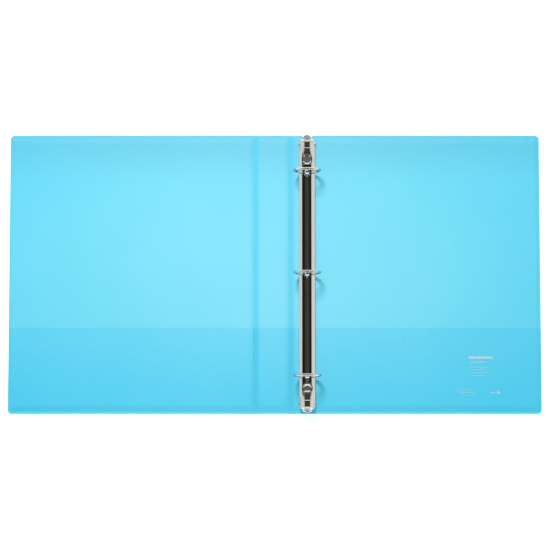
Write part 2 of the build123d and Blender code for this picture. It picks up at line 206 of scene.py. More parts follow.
def slab_faces(rows, columns):
    """Faces of a closed slab: an upper grid of points, then a matching lower one."""
    def index(row, column, layer):
        return (layer * rows + row) * columns + column

    faces = []

    def quad(*corners):
        faces.append([index(*c) for c in corners])

    end, side = rows - 1, columns - 1
    for j in range(end):
        for i in range(side):
            quad((j, i, 0), (j, i + 1, 0), (j + 1, i + 1, 0), (j + 1, i, 0))
            quad((j, i, 1), (j + 1, i, 1), (j + 1, i + 1, 1), (j, i + 1, 1))
    for j in range(end):
        quad((j, 0, 0), (j + 1, 0, 0), (j + 1, 0, 1), (j, 0, 1))
        quad((j, side, 0), (j, side, 1), (j + 1, side, 1), (j + 1, side, 0))
    for i in range(side):
        quad((0, i, 0), (0, i, 1), (0, i + 1, 1), (0, i + 1, 0))
        quad((end, i, 0), (end, i + 1, 0), (end, i + 1, 1), (end, i, 1))
    return faces


def on_mechanism(points, mirror_x=1, mirror_y=1):
    """Move points from the mechanism's own axes into the scene's."""
    return [(MECH_X + mirror_x * x, mirror_y * y, BASE_Z + z) for x, y, z in points]


def enlist(ob, body, node=None):
    """Parent the piece to its moving body and hide the CAD node it stands for."""
    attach(ob, body)
    if node:
        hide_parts(node)


# ---------------------------------------------------------------- node graph builder
class Graph:
    """Builds a node tree. Methods return output sockets; node() returns the node."""

    def __init__(self, owner):
        owner.use_nodes = True
        self.tree = owner.node_tree
        self.tree.nodes.clear()

    def feed(self, node, inputs):
        """Link or set inputs by name or index; colours are given without alpha."""
        for key, value in inputs.items():
            socket = node.inputs[key]
            if isinstance(value, bpy.types.NodeSocket):
                self.tree.links.new(value, socket)
            elif socket.type == "RGBA":
                socket.default_value = (*value, 1)
            else:
                socket.default_value = value

    def node(self, kind, inputs=None, **settings):
        node = self.tree.nodes.new("ShaderNode" + kind)
        for key, value in settings.items():
            setattr(node, key, value)
        self.feed(node, inputs or {})
        return node

    def principled(self):
        """A Principled node joined to the material's output."""
        bsdf = self.node("BsdfPrincipled")
        self.node("OutputMaterial", {0: bsdf.outputs[0]})
        return bsdf

    def coords(self):
        return self.node("TexCoord").outputs["Object"]

    def attribute(self, name):
        return self.node("Attribute", attribute_name=name).outputs["Fac"]

    def split(self, vector):
        return self.node("SeparateXYZ", {0: vector}).outputs

    def math(self, operation, *values):
        return self.node("Math", dict(enumerate(values)), operation=operation).outputs[0]

    def add(self, a, b):
        return self.math("ADD", a, b)

    def multiply(self, a, b):
        return self.math("MULTIPLY", a, b)

    def remap(self, value, span, to, smooth=False):
        """Map the range span onto the range to."""
        inputs = {"Value": value, "From Min": span[0], "From Max": span[1],
                  "To Min": to[0], "To Max": to[1]}
        kind = "SMOOTHSTEP" if smooth else "LINEAR"
        return self.node("MapRange", inputs, interpolation_type=kind).outputs["Result"]

    def mix(self, factor, a, b, blend="MIX"):
        return self.node("Mix", {"Factor": factor, 6: a, 7: b},
                         data_type="RGBA", blend_type=blend).outputs[2]

    def darken(self, colour, by):
        return self.mix(1.0, colour, by, "MULTIPLY")

    def mix_shader(self, factor, a, b):
        return self.node("MixShader", {0: factor, 1: a, 2: b}).outputs[0]

    def stretch(self, vector, scale):
        return self.node("Mapping", {"Scale": scale, "Vector": vector}).outputs["Vector"]

    def noise(self, vector, scale=1.0, detail=3.0, roughness=0.5, distortion=0.0):
        inputs = {"Vector": vector, "Scale": scale, "Detail": detail,
                  "Roughness": roughness, "Distortion": distortion}
        return self.node("TexNoise", inputs).outputs["Fac"]

    def bump(self, height, strength, distance, normal=None):
        inputs = {"Height": height, "Strength": strength, "Distance": distance}
        if normal is not None:
            inputs["Normal"] = normal
        return self.node("Bump", inputs).outputs["Normal"]


def new_material(name):
    material = bpy.data.materials.new(name)
    return material, Graph(material)


# ---------------------------------------------------------------- materials
# Painted light: the sheet is painted lighter in the middle and darker towards its edges, where
# less light falls.
VINYL_LIT_CENTRE = (0.236, 0.690, 0.845)    # painted light: the lighter middle of the sheet
VINYL_EDGE = (0.118, 0.590, 0.785)
WELD_ROUGHNESS = 0.36


def vinyl(name, roughness, centre, reach):
    """Vinyl sheet: fine grain, a painted lighter centre with painted shade towards the edges and
    the head, glossy welds with painted crease shade, faint scuffs.
    """
    material, g = new_material(name)
    bsdf = g.principled()
    coords = g.coords()
    x, y, _ = g.split(coords)

    # painted light: a paler middle, fading out at the given reach, with random blotches
    dx = g.multiply(g.math("SUBTRACT", x, centre[0]), 0.80)
    dy = g.multiply(g.math("SUBTRACT", y, centre[1]), 1.15)
    distance = g.math("SQRT", g.add(g.multiply(dx, dx), g.multiply(dy, dy)))
    painted_light_and_blotches = g.remap(distance, span=(0.0, reach), to=(1.0, 0.0), smooth=True)
    blotches = g.noise(coords, scale=9.0, detail=2.0)
    painted_light_and_blotches = g.add(painted_light_and_blotches, g.remap(blotches, span=(0.3, 0.7), to=(-0.07, 0.07)))
    colour = g.mix(painted_light_and_blotches, VINYL_EDGE, VINYL_LIT_CENTRE)

    # painted shade: darker towards the head, where the light falls off
    head = g.remap(y, span=(0.090, 0.146), to=(0.0, 1.0), smooth=True)
    colour = g.mix(head, colour, g.darken(colour, by=(0.955, 0.875, 0.885)))

    grain = g.noise(coords, scale=1400.0, roughness=0.6)
    colour = g.mix(g.remap(grain, span=(0.3, 0.7), to=(0.0, 0.16)), colour,
                   tuple(c * 0.86 for c in VINYL_EDGE))

    # The weld amount mixes in a darker, cooler colour: the pressed weld's own tone, plus painted
    # crease shade along the hinge lines.
    weld_and_crease_shade = g.attribute("weld_and_crease_shade")
    weld_and_crease_shade_colour = tuple(c * f for c, f in zip(VINYL_EDGE, (0.78, 0.97, 1.0)))
    colour = g.mix(g.multiply(weld_and_crease_shade, 0.80), colour, weld_and_crease_shade_colour)

    # scuffs: fine streaks across and along the sheet
    across = g.noise(g.stretch(coords, (7.0, 260.0, 7.0)),
                     detail=4.0, roughness=0.7, distortion=1.2)
    along = g.noise(g.stretch(coords, (300.0, 11.0, 7.0)),
                    detail=4.0, roughness=0.7, distortion=0.8)
    scuffs = g.remap(g.math("MAXIMUM", across, along), span=(0.66, 0.78), to=(0.0, 1.0))
    colour = g.mix(g.multiply(scuffs, 0.06), colour, (0.85, 0.95, 1.0))

    colour = g.mix(g.attribute("under_film"), colour,
                   g.darken(colour, by=(0.72, 0.91, 0.95)))

    patches = g.noise(coords, scale=60.0, detail=4.0, roughness=0.6)
    rough = g.remap(patches, span=(0.25, 0.75), to=(roughness - 0.05, roughness + 0.07))
    rough = g.add(rough, g.remap(grain, span=(0.3, 0.7), to=(-0.03, 0.03)))
    rough = g.add(rough, g.multiply(weld_and_crease_shade, WELD_ROUGHNESS - roughness))
    rough = g.add(rough, g.multiply(scuffs, 0.08))

    # relief from fine pebbling to slow undulation
    pebbles = g.node("TexVoronoi", {"Scale": 1900.0, "Vector": coords}, feature="SMOOTH_F1")
    normal = g.bump(pebbles.outputs["Distance"], strength=0.16, distance=0.00008)
    normal = g.bump(g.noise(coords, scale=420.0),
                    strength=0.10, distance=0.00010, normal=normal)
    normal = g.bump(g.noise(coords, scale=26.0, detail=2.0),
                    strength=0.12, distance=0.0006, normal=normal)
    g.feed(bsdf, {"Base Color": colour, "Roughness": rough, "Normal": normal,
                  "Specular IOR Level": 0.42})
    return material


def film(name, tint, shaded_foot_tint, milk_colour, milkiness, roughness):
    """Thin see-through film: tinted, with painted shade deepening the tint towards the foot, a
    little milky, with a smooth surface glint.
    """
    material, g = new_material(name)
    coords = g.coords()
    _, y, _ = g.split(coords)

    # painted shade: the tint deepens towards the foot, where the light falls off
    painted_foot_shade = g.remap(y, span=(-0.060, -0.150), to=(0.0, 1.0))
    uneven = g.remap(g.noise(coords, scale=14.0), span=(0.3, 0.7), to=(-0.08, 0.08))
    tint_mix = g.mix(g.add(painted_foot_shade, uneven), tint, shaded_foot_tint)
    tinted = g.node("BsdfTransparent", {0: tint_mix}).outputs[0]
    clear = g.node("BsdfTransparent", {0: (1, 1, 1)}).outputs[0]

    milk = g.node("BsdfPrincipled", {"Base Color": milk_colour, "Roughness": 0.5}).outputs[0]
    amount = g.remap(g.noise(coords, scale=900.0, roughness=0.6),
                     span=(0.2, 0.8), to=(milkiness * 0.8, milkiness * 1.2))
    body = g.mix_shader(amount, tinted, milk)

    rough = g.remap(g.noise(coords, scale=70.0, detail=4.0, roughness=0.6),
                    span=(0.25, 0.75), to=(roughness * 0.8, roughness * 1.3))
    normal = g.bump(g.noise(g.stretch(coords, (30.0, 12.0, 10.0))),
                    strength=0.12, distance=0.0012)
    normal = g.bump(g.noise(coords, scale=1100.0, detail=2.0),
                    strength=0.05, distance=0.00005, normal=normal)
    glint = g.node("BsdfGlossy", {"Color": (1, 1, 1), "Roughness": rough, "Normal": normal})
    fresnel = g.node("Fresnel", {"IOR": 1.42, "Normal": normal})
    surface = g.mix_shader(fresnel.outputs[0], body, glint.outputs[0])

    # the sheet tints once: its far face adds nothing, and shadows see only the tint
    far_face = g.node("NewGeometry").outputs["Backfacing"]
    shadow = g.node("LightPath").outputs["Is Shadow Ray"]
    surface = g.mix_shader(shadow, surface, tinted)
    g.node("OutputMaterial", {0: g.mix_shader(far_face, surface, clear)})
    return material


DULL_METAL = (0.55, 0.53, 0.50)


def metal(name, colour, roughness, brush=(90.0, 3.0, 90.0), lines_strength=0.04,
          shade=None, metallic=1.0):
    """Plated steel with drawing lines and dull specks; shade darkens the points its attribute
    marks, a painted darker reflection.
    """
    material, g = new_material(name)
    bsdf = g.principled()
    coords = g.coords()
    specks = g.noise(coords, scale=520.0, detail=5.0, roughness=0.7)
    speck_mix = g.remap(specks, span=(0.62, 0.74), to=(0.0, 0.35))
    colour = g.mix(speck_mix, colour, DULL_METAL)
    lines = g.noise(g.stretch(coords, tuple(b * 40 for b in brush)), roughness=0.6)
    colour = g.mix(g.remap(lines, span=(0.4, 0.75), to=(0.0, 0.10)), colour, DULL_METAL)
    # painted reflection: the marked points are darkened as if mirroring shaded surroundings
    if shade:
        colour = g.mix(g.attribute("shaded_reflection"), colour, g.darken(colour, by=shade))
    rough = g.remap(g.noise(coords, scale=180.0, detail=4.0, roughness=0.6),
                    span=(0.3, 0.7), to=(roughness * 0.75, roughness * 1.35))
    rough = g.add(rough, g.remap(specks, span=(0.62, 0.74), to=(0.0, 0.12)))
    normal = g.bump(lines, strength=lines_strength, distance=0.00004)
    normal = g.bump(g.noise(coords, scale=160.0, detail=2.0),
                    strength=0.05, distance=0.0001, normal=normal)
    g.feed(bsdf, {"Base Color": colour, "Metallic": metallic, "Roughness": rough,
                  "Normal": normal})
    return material


def chipboard():
    material, g = new_material("chipboard")
    bsdf = g.principled()
    fibres = g.noise(g.stretch(g.coords(), (300.0, 1100.0, 2600.0)),
                     detail=5.0, roughness=0.7)
    ramp = g.node("ValToRGB", {0: fibres})
    elements = ramp.color_ramp.elements
    elements.new(0.5)
    stops = ((0.25, (0.30, 0.28, 0.24)), (0.55, (0.50, 0.47, 0.41)), (0.8, (0.62, 0.59, 0.53)))
    for element, (position, colour) in zip(elements, stops):
        element.position = position
        element.color = (*colour, 1)
    g.feed(bsdf, {"Base Color": ramp.outputs[0], "Roughness": 0.9,
                  "Normal": g.bump(fibres, strength=0.4, distance=0.0002)})
    return material


def white_print():
    """Thin, patchy white ink; the 'ink' attribute says how well it covers."""
    material, g = new_material("white_print")
    ink = g.node("BsdfPrincipled", {"Base Color": (0.82, 0.90, 0.95), "Roughness": 0.6})
    bare = g.node("BsdfTransparent")
    patchy = g.remap(g.noise(g.coords(), scale=2200.0, roughness=0.6),
                     span=(0.3, 0.6), to=(0.55, 1.0))
    cover = g.multiply(g.attribute("ink"), patchy)
    g.node("OutputMaterial", {0: g.mix_shader(cover, bare.outputs[0], ink.outputs[0])})
    return material


VINYL = vinyl("blue_vinyl", roughness=0.44, centre=(-0.010, 0.01), reach=0.32)
VINYL_OUTER = vinyl("blue_vinyl_outer", roughness=0.38, centre=(0.0, 0.0), reach=0.5)
POCKET_FILM = film("pocket_film", tint=(0.905, 0.980, 0.996), shaded_foot_tint=(0.812, 0.978, 1.0),
                   milk_colour=(0.12, 0.62, 0.84), milkiness=0.03, roughness=0.24)
CLEAR_FILM = film("clear_film", tint=(0.985, 0.99, 0.99), shaded_foot_tint=(0.985, 0.99, 0.99),
                  milk_colour=(0.85, 0.92, 0.95), milkiness=0.015, roughness=0.14)
CHROME = metal("nickel_plate", colour=(0.90, 0.885, 0.86), roughness=0.055)
RING_METAL = metal("nickel_wire", colour=(0.72, 0.71, 0.675), roughness=0.27,
                   brush=(30.0, 90.0, 30.0), shade=(0.34, 0.48, 0.56), metallic=0.90)
RIVET_METAL = metal("nickel_rivet", colour=(0.92, 0.92, 0.91), roughness=0.12, metallic=0.93)
STEEL = metal("plated_steel", colour=(0.62, 0.63, 0.63), roughness=0.26,
              brush=(60.0, 2.0, 60.0), lines_strength=0.08)
BOARD = chipboard()
PRINT = white_print()


# ---------------------------------------------------------------- panels
Panel = namedtuple("Panel", "name body left right left_hinged right_hinged seed")


def panel_from_frame(name, body, left_hinged, right_hinged, seed):
    low, high = node_box(f"{name}_inner_skin")
    return Panel(name, body, low[0], high[0], left_hinged, right_hinged, seed)


FRONT = panel_from_frame("front", "front_cover", False, True, seed=0.3)
SPINE = panel_from_frame("spine", "spine", True, True, seed=1.1)
BACK = panel_from_frame("back", "back_cover", True, False, seed=2.2)
PANELS = (FRONT, SPINE, BACK)

# insets of the nested outlines from a free edge, a hinged side, an open head and a board edge
FREE_INSETS = [0, .10, .22, .36, .52, .70, .90, 1.10, 1.30, 1.50, 1.75, 2.0,
               2.25, 2.5, 2.8, 3.1, 3.5, 4.0, 4.7, 5.6, 6.6, 7.8, 9.2, 10.8]
HINGE_INSETS = [0, .06, .13, .22, .32, .43, .55, .68, .82, .97, 1.12, 1.28,
                1.45, 1.62, 1.8, 2.0, 2.25, 2.6, 3.1, 3.7, 4.4, 5.3, 6.6, 8.2]
OPEN_INSETS = [0.05 * k for k in range(len(FREE_INSETS))]
BOARD_INSETS = [0, 0.25, 0.55, 0.9, 1.3, 1.8, 2.4, 3.2, 4.5, 6.2, 8.0]
CORNER = 4.0                # radius of a panel's free corners
ARC_STEPS = 7
LEAST_CORNER = 1.1          # inner outlines' radius, falling to 0 at the innermost
FAR = 1e9                   # stands for the distance to a side that isn't there


def sheet_grid(panel, left, right, foot, head, step, open_head=False,
               free=FREE_INSETS, hinge=HINGE_INSETS, corner=CORNER):
    """Points, faces and rim of a sheet: nested rounded outlines round a plain grid."""
    columns = max(4, int(round((right - left - 10) / step)))
    rows = max(4, int(round((head - foot - 10) / step)))
    sides = (columns, rows, columns, rows)
    count = len(free)
    points, outlines = [], []

    def add(x, y):
        points.append((x, y))
        return len(points) - 1

    for k in range(count):
        x0 = left + (hinge if panel.left_hinged else free)[k]
        x1 = right - (hinge if panel.right_hinged else free)[k]
        y0 = foot + free[k]
        y1 = head - (OPEN_INSETS if open_head else free)[k]
        innermost = k == count - 1
        radius = max(corner - free[k], LEAST_CORNER * (1 - k / (count - 1)))
        if innermost:
            radius = 0.0
        foot_left = 0 if panel.left_hinged else radius
        foot_right = 0 if panel.right_hinged else radius
        head_left, head_right = (0, 0) if open_head else (foot_left, foot_right)
        # x, y, inward x, inward y, radius, start angle of the arc; anticlockwise
        corners = ((x0, y0, 1, 1, foot_left, math.pi),
                   (x1, y0, -1, 1, foot_right, -math.pi / 2),
                   (x1, y1, -1, -1, head_right, 0),
                   (x0, y1, 1, -1, head_left, math.pi / 2))
        ids = []
        for c, segments in enumerate(sides):
            x, y, in_x, in_y, r, start = corners[c]
            if innermost:
                ids += [add(x, y)] * (ARC_STEPS + 1)
            else:
                for i in range(ARC_STEPS + 1):
                    a = start + math.pi / 2 * i / ARC_STEPS
                    ids.append(add(x + in_x * r + r * math.cos(a),
                                   y + in_y * r + r * math.sin(a)))
            next_x, next_y, next_in_x, next_in_y, next_r, _ = corners[(c + 1) % 4]
            if c % 2 == 0:
                x += in_x * r
                next_x += next_in_x * next_r
            else:
                y += in_y * r
                next_y += next_in_y * next_r
            for i in range(1, segments):
                t = i / segments
                ids.append(add(x + (next_x - x) * t, y + (next_y - y) * t))
        outlines.append(ids)

    faces = []
    for outer, inner in zip(outlines, outlines[1:]):
        for i in range(len(outer)):
            j = (i + 1) % len(outer)
            face = list(dict.fromkeys((outer[i], outer[j], inner[j], inner[i])))
            if len(face) >= 3:
                faces.append(face)

    # the plain grid shares the innermost outline's points
    last = outlines[-1]
    start, runs = ARC_STEPS, []
    for segments in sides:
        runs.append([last[(start + i) % len(last)] for i in range(segments + 1)])
        start += segments + ARC_STEPS
    bottom, right_run, top, left_run = runs
    top.reverse()
    left_run.reverse()
    x0, y0 = points[bottom[0]]
    x1, y1 = points[top[-1]]
    grid = [bottom]
    for j in range(1, rows):
        inside = [add(x0 + (x1 - x0) * i / columns, y0 + (y1 - y0) * j / rows)
                  for i in range(1, columns)]
        grid.append([left_run[j]] + inside + [right_run[j]])
    grid.append(top)
    for lower, upper in zip(grid, grid[1:]):
        for i in range(columns):
            faces.append([lower[i], lower[i + 1], upper[i + 1], upper[i]])
    return points, faces, outlines[0]


def shell(name, grid, top, bottom, material, weld_and_crease_shade=None):
    """Closed thin solid between two height functions over one outline."""
    points, grid_faces, rim = grid
    count = len(points)
    upper = [(x, y, top(x, y)) for x, y in points]
    lower = [(x, y, min(bottom(x, y), z - 0.02)) for x, y, z in upper]
    faces = [list(f) for f in grid_faces]
    faces += [[v + count for v in reversed(f)] for f in grid_faces]
    for i, a in enumerate(rim):
        b = rim[(i + 1) % len(rim)]
        if points[a] != points[b]:
            faces.append([b, a, a + count, b + count])
    attributes = {"weld_and_crease_shade": [weld_and_crease_shade(x, y) for x, y in points] * 2} if weld_and_crease_shade else None
    ob = make(name, upper + lower, faces, material, 38.0, attributes)
    merge(ob)
    return ob


def cut_rivet_holes(ob, radius, ys=(RIVET_Y, -RIVET_Y)):
    """Open round holes through a closed sheet at the rivets."""
    for y in ys:
        verts = [(MECH_X + radius * c, y + radius * s, z)
                 for z in (-3.0, 8.0) for c, s in circle(48)]
        cutter = make("cutter_tmp", verts, tube_faces(0, 2, 48), VINYL, None)
        modifier = ob.modifiers.new("hole", "BOOLEAN")
        modifier.operation = "DIFFERENCE"
        modifier.solver = "EXACT"
        modifier.object = cutter
        apply_modifiers(ob)
        bpy.data.objects.remove(cutter)


def side_distances(x, panel):
    """Distances from the nearest free side and from the nearest hinged side."""
    sides = ((x - panel.left, panel.left_hinged), (panel.right - x, panel.right_hinged))
    return [min([gap for gap, hinged in sides if hinged == wanted], default=FAR)
            for wanted in (False, True)]


def edge_distances(x, y, panel):
    """Distance inside the free, rounded outline, and distance from the hinged sides."""
    side, hinge = side_distances(x, panel)
    end = min(y - FOOT, HEAD - y)
    d = min(side, end)
    if side < CORNER and end < CORNER:
        d = CORNER - math.hypot(CORNER - side, CORNER - end)
    return max(d, 0.0), hinge


def end_share(x, y, panel):
    """1 along the head and foot edges, 0 along the fore edges, blended at the corners."""
    return ease(-4.0, 4.0, side_distances(x, panel)[0] - min(y - FOOT, HEAD - y))


RIM_H = 0.50        # edge bead, above the middle plane
WELD_H = 0.26       # pressed weld
BEAD_W = 0.46       # width of the bead's rounded outer part


def free_profile(d, uneven, full, wide):
    """Height above the middle plane: edge bead, weld line, then the rise onto the board."""
    if d < BEAD_W:
        return max(RIM_H * math.sqrt(max(0.0, 1 - ((BEAD_W - d) / BEAD_W) ** 2)), 0.03)
    if d <= 1.6:
        return RIM_H - (RIM_H - WELD_H) * ease(0.5, 1.05, d)
    rise_start = 1.35 + 0.10 * uneven - 0.5 * wide
    rise_end = 4.9 + 0.30 * uneven + 4.6 * wide
    return WELD_H + (full - WELD_H) * ease(rise_start, rise_end, d)


def hinge_profile(d, full):
    base = WELD_H + 0.02
    return base + (full - base) * ease(-0.3, 4.1, d)


def skin_surface(panel, side):
    """Exposed face's height: the inner skin's for side 1, the outer skin's for -1."""
    if side > 0:
        full, sag, seed = FULL_IN, 0.035, panel.seed
    else:
        full, sag, seed = FULL_OUT, 0.03, panel.seed + 3

    def height(x, y):
        d, hinge = edge_distances(x, y, panel)
        uneven = ripple(x if min(y - FOOT, HEAD - y) < 8 else y, seed)
        h = min(free_profile(d, uneven, full, end_share(x, y, panel)),
                hinge_profile(hinge, full))
        inside = ease(3.0, 9.0, d) * ease(1.5, 6.0, hinge)
        h -= sag * (0.5 + 0.5 * wave(x, y, seed)) * inside
        return Z_MID + side * min(h, full)

    return height


def weld_and_crease_shade_amount(panel):
    """How strongly a point is pressed: at the free edges and along the hinged sides, with
    painted crease shade strongest along a right hinged side, beside the hinge web.
    """
    def amount(x, y):
        d, _ = edge_distances(x, y, panel)
        left = x - panel.left if panel.left_hinged else FAR
        right = panel.right - x if panel.right_hinged else FAR
        return max(0.34 * (1 - ease(1.2, 2.6, d)),
                   0.55 * (1 - ease(0.0, 2.6, left)),
                   0.80 * (1 - ease(0.0, 1.0, right)))

    return amount


def vinyl_skins(panel, thickness=0.25):
    inner, outer = skin_surface(panel, 1), skin_surface(panel, -1)
    grid = sheet_grid(panel, panel.left, panel.right, FOOT, HEAD, step=3.2)
    weld_and_crease_shade = weld_and_crease_shade_amount(panel)
    ob = shell(f"{panel.name}_inner_vinyl", grid, inner,
               lambda x, y: max(inner(x, y) - thickness, Z_MID), VINYL, weld_and_crease_shade)
    enlist(ob, panel.body, f"{panel.name}_inner_skin")
    ob = shell(f"{panel.name}_outer_vinyl", grid,
               lambda x, y: min(outer(x, y) + thickness, Z_MID - 0.01), outer,
               VINYL_OUTER, weld_and_crease_shade)
    if panel is BACK:
        cut_rivet_holes(ob, radius=5.5)
    enlist(ob, panel.body, f"{panel.name}_outer_skin")


def board(panel, below_skin=0.275, free_inset=2.7, hinge_inset=1.5):
    """Chipboard, its edges crushed where the vinyl slopes down."""
    inner, outer = skin_surface(panel, 1), skin_surface(panel, -1)
    grid = sheet_grid(
        panel,
        panel.left + (hinge_inset if panel.left_hinged else free_inset),
        panel.right - (hinge_inset if panel.right_hinged else free_inset),
        FOOT + free_inset, HEAD - free_inset,
        step=6.0, free=BOARD_INSETS, hinge=BOARD_INSETS, corner=2.0)
    ob = shell(f"{panel.name}_chipboard", grid, lambda x, y: inner(x, y) - below_skin,
               lambda x, y: outer(x, y) + below_skin, BOARD)
    if panel is BACK:
        cut_rivet_holes(ob, radius=2.75)
    enlist(ob, panel.body, f"{panel.name}_board")


def pocket(panel, seed, thickness=0.18):
    """Pocket film across the foot of the panel's inside."""
    inner = skin_surface(panel, 1)
    grid = sheet_grid(panel, panel.left, panel.right, FOOT + 2.3, POCKET_HEAD,
                      step=3.4, open_head=True)

    def underside(x, y):
        d, hinge = edge_distances(x, y, panel)
        loose = ease(3.0, 14.0, d) * ease(2.0, 10.0, hinge)
        lift = (0.03 + 0.05 * loose * (0.5 + 0.5 * wave(x * 1.3, y * 1.9, seed))
                + 0.05 * loose * ease(POCKET_HEAD - 7, POCKET_HEAD, y))
        return min(inner(x, y) + lift, POCKET_Z - 0.20)

    ob = shell(f"{panel.name}_pocket_film", grid,
               lambda x, y: underside(x, y) + thickness, underside, POCKET_FILM)
    if panel is BACK:
        cut_rivet_holes(ob, radius=2.7, ys=(-RIVET_Y,))
    enlist(ob, panel.body, f"{panel.name}_pocket")


def view_film(panel, inset=0.15, gap=0.02, lowest_top=0.13, thickness=0.125):
    """Clear film over the panel's outside, open at the head."""
    outer = skin_surface(panel, -1)
    grid = sheet_grid(panel, panel.left + inset, panel.right - inset, FOOT, VIEW_HEAD,
                      step=3.6, open_head=True)

    def top(x, y):
        return max(outer(x, y) - gap, lowest_top)

    ob = shell(f"{panel.name}_view_film", grid, top,
               lambda x, y: top(x, y) - thickness, CLEAR_FILM)
    if panel is BACK:
        cut_rivet_holes(ob, radius=5.55)
    enlist(ob, panel.body, f"{panel.name}_clear_film")


for panel in PANELS:
    vinyl_skins(panel)
for panel in PANELS:
    board(panel)
for number, panel in enumerate(PANELS):
    pocket(panel, seed=number + 0.9)
for panel in PANELS:
    view_film(panel)


# ---------------------------------------------------------------- hinge webs
def web(name, left_panel, right_panel, node, columns=26, row_step=2.0):
    """Pressed vinyl strip between two panels, with three low ridges."""
    left, right = left_panel.right, right_panel.left
    width = right - left
    rows = int((HEAD - FOOT) / row_step)

    def half_thickness(t, y):
        x = t * width
        ridges = (0.03 * bell(x, 0.5 * width, 0.30)
                  + 0.06 * (bell(x, 0.22 * width, 0.34) + bell(x, 0.78 * width, 0.34)))
        end = min(y - FOOT, HEAD - y)
        taper = math.sqrt(max(0.0, 1 - ((0.5 - min(end, 0.5)) / 0.5) ** 2))
        dip = -0.05 * math.sin(math.pi * t)
        uneven = 0.012 * ripple(y, 2.0 + left)
        return (WELD_H + 0.01 + ridges + dip + uneven) * max(taper, 0.12)

    verts, weld_and_crease_shade, under_film = [], [], []
    for side in (1, -1):
        for j in range(rows + 1):
            y = FOOT + (HEAD - FOOT) * j / rows
            covered = 0.0
            if side > 0:
                covered = (ease(POCKET_HEAD + 0.3, POCKET_HEAD - 0.9, y)
                           * ease(FOOT + 2.0, FOOT + 2.6, y))
            for i in range(columns + 1):
                t = i / columns
                h = half_thickness(t, y)
                if side > 0 and y < POCKET_HEAD:
                    h += 0.16 * ease(POCKET_HEAD, POCKET_HEAD - 1.5, y)
                verts.append((left + width * t, y, Z_MID + side * h))
                under_film.append(covered)
                # pressed weld tone with painted crease shade: strongest in a thin line near the
                # left side, less about a third of the way across, fading out towards the right
                weld_and_crease_shade.append(0.92 + 0.10 * bell(t, 0.10, 0.08) - 0.20 * bell(t, 0.30, 0.09)
                            - 0.42 * ease(0.62, 1.0, t))
    ob = make(name, verts, slab_faces(rows + 1, columns + 1), VINYL, 38.0,
              {"weld_and_crease_shade": weld_and_crease_shade, "under_film": under_film})
    merge(ob)
    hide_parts(node)
    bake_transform(ob)


web("front_hinge_weld", FRONT, SPINE, "front_hinge_web")
web("back_hinge_weld", SPINE, BACK, "back_hinge_web")

# ---------------------------------------------------------------- housing
# heights are above the mechanism's underside
WALL_Z = [0.0, 0.35, 0.7, 1.1, 1.6, 2.1, 2.45, 2.7]     # points up the side walls
ARC_SIDE = 2.8              # arch height at the sides
CROWN = 6.4                 # and at the middle
ARC_R = (HALF_WIDTH ** 2 + (CROWN - ARC_SIDE) ** 2) / (2 * (CROWN - ARC_SIDE))
ARC_C = CROWN - ARC_R
SLOT_IN, SLOT_HALF = 3.0, 1.85          # ring slots: inner end from the centre, half length
SEAT_Z, SEAT_R = 5.1, 5.6               # flat round seat of each rivet
RIDGE_X, RIDGE_Z = 3.35, 6.02           # ridges beside the channel at the ends
CHANNEL_Z = 5.42
SLOPE_FOOT_Z = 2.95                     # where the slopes beyond the ridges end
CHANNEL_END = 133.0                     # from the middle of the housing
RIB_Y = 133.9


def cover_section():
    """Points (x, z) from the left foot over the arch to the right foot."""
    edge = math.asin(HALF_WIDTH / ARC_R)
    steps = 124
    arch = []
    for i in range(steps + 1):
        a = -edge + 2 * edge * i / steps
        arch.append((ARC_R * math.sin(a), ARC_C + ARC_R * math.cos(a)))
    # put a point on each slot's inner end
    for x in (-SLOT_IN, SLOT_IN):
        nearest = min(range(len(arch)), key=lambda k: abs(arch[k][0] - x))
        arch[nearest] = (x, ARC_C + math.sqrt(ARC_R ** 2 - SLOT_IN ** 2))
    section = ([(-HALF_WIDTH, z) for z in WALL_Z] + arch
               + [(HALF_WIDTH, z) for z in reversed(WALL_Z)])
    # soften the shoulders between walls and arch
    softened = list(section)
    for _ in range(3):
        before = softened
        softened = list(before)
        for i in range(1, len(section) - 1):
            x, z = section[i]
            if abs(x) > 7.4 and z > 2.1:
                softened[i] = tuple((a + 2 * b + c) / 4 for a, b, c
                                    in zip(before[i - 1], before[i], before[i + 1]))
    return softened


def cover_rows():
    """Places along the length, close together where the shape changes."""
    def spacing(y):
        if 113.5 < abs(y) < 128.5:
            return 0.20
        if abs(y) > 128:
            return 0.26
        for ring_y in RING_YS.values():
            if abs(y - ring_y) < 3.6:
                return 0.22
            if abs(y - ring_y) < 5.5:
                return 0.6
        return 3.0

    rows = []
    y = -HALF_LENGTH
    while y < HALF_LENGTH - 1e-6:
        rows.append(y)
        y += spacing(y)
    rows.append(HALF_LENGTH)
    for ring_y in RING_YS.values():
        for slot_end in (ring_y - SLOT_HALF, ring_y + SLOT_HALF):
            rows = [r for r in rows if abs(r - slot_end) > 0.22]
            rows.append(slot_end)
    return sorted(rows)


def end_slopes(z, across, along):
    """Towards the ends the arch gives way to straight slopes beside a flat channel."""
    share = ease(124.0, 132.5, along)
    if share <= 0 or across >= 8.0:
        return z
    if across < RIDGE_X:
        target = CHANNEL_Z + (RIDGE_Z - CHANNEL_Z) * ease(2.75, 3.45, across)
    else:
        slope = (RIDGE_Z - SLOPE_FOOT_Z) / (HALF_WIDTH - RIDGE_X)
        target = RIDGE_Z - slope * (across - RIDGE_X)
    share *= 1 - ease(7.2, 8.0, across)
    return z * (1 - share) + target * share


